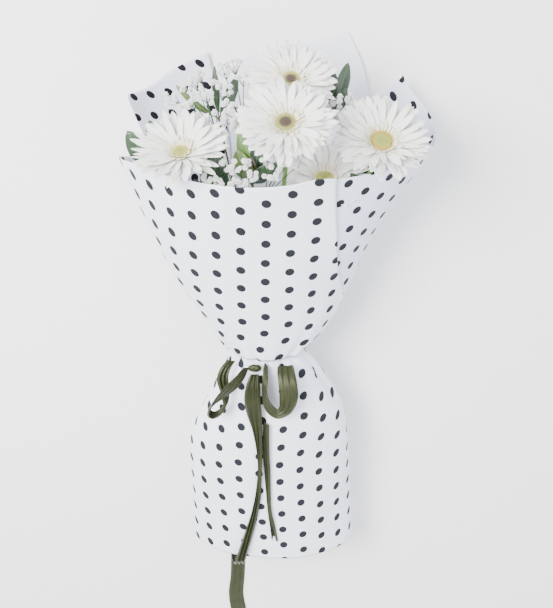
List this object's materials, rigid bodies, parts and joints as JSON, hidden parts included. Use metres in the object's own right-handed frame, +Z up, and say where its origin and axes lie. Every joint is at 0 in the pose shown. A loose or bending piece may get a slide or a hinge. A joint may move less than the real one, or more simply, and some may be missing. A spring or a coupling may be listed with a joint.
{
  "type": "gerbera bouquet",
  "caption": "Hand-tied bouquet of white gerberas with gypsophila and dark leaves in polka-dot paper with a dotted skirt and an olive satin ribbon, lying on its back.",
  "frame": {"origin": "bottom centre of the bounding box, on the floor under the middle of the lying bouquet", "axes": "+Y from the cut end of the paper skirt to the flower heads, +Z up and towards the bouquet's front, +X to the right as the front is seen with the heads up"},
  "size_m": [0.3608, 0.9212, 0.2624],
  "materials": {
    "dotted_paper": "matte white paper with a faint lilac cast and charcoal dots",
    "plain_paper": "matte white paper",
    "satin_ribbon": "olive green satin",
    "flower_stem": "fleshy green stem",
    "white_petal": "soft white petal",
    "cream_petal": "soft cream petal",
    "flower_disc": "velvety yellow green disc",
    "spray": "small white blossoms on thin green stems",
    "leaf": "leathery dark green leaf",
    "binding": "raffia"
  },
  "bodies": {
    "root": {"wrap_front_sheet": "dotted_paper", "wrap_right_sheet": "dotted_paper", "wrap_left_back_sheet": "dotted_paper", "wrap_middle_back_sheet": "plain_paper", "wrap_skirt": "dotted_paper", "ribbon_band": "satin_ribbon", "ribbon_knot": "satin_ribbon", "ribbon_right_loop": "satin_ribbon", "ribbon_left_loop": "satin_ribbon", "ribbon_long_tail": "satin_ribbon", "ribbon_short_tail": "satin_ribbon", "gerbera_left_stem": "flower_stem", "gerbera_left_calyx": "flower_stem", "gerbera_left_ray_petals": "white_petal", "gerbera_left_inner_petals": "cream_petal", "gerbera_left_disc": "flower_disc", "gerbera_top_stem": "flower_stem", "gerbera_top_calyx": "flower_stem", "gerbera_top_ray_petals": "white_petal", "gerbera_top_inner_petals": "cream_petal", "gerbera_top_disc": "flower_disc", "gerbera_middle_stem": "flower_stem", "gerbera_middle_calyx": "flower_stem", "gerbera_middle_ray_petals": "white_petal", "gerbera_middle_inner_petals": "cream_petal", "gerbera_middle_disc": "flower_disc", "gerbera_right_stem": "flower_stem", "gerbera_right_calyx": "flower_stem", "gerbera_right_ray_petals": "white_petal", "gerbera_right_inner_petals": "cream_petal", "gerbera_right_disc": "flower_disc", "gerbera_lower_stem": "flower_stem", "gerbera_lower_calyx": "flower_stem", "gerbera_lower_ray_petals": "white_petal", "gerbera_lower_inner_petals": "cream_petal", "gerbera_lower_disc": "flower_disc", "gypsophila_left_back": "spray", "gypsophila_middle_back": "spray", "gypsophila_front_left": "spray", "gypsophila_middle": "spray", "gypsophila_right": "spray", "leaf_sprig_left": "leaf", "leaf_sprig_front_left": "leaf", "leaf_sprig_middle": "leaf", "leaf_sprig_right": "leaf", "leaf_sprig_top_right": "leaf", "leaf_sprig_top_left": "leaf", "stem_binding": "binding"}
  },
  "joints": []
}
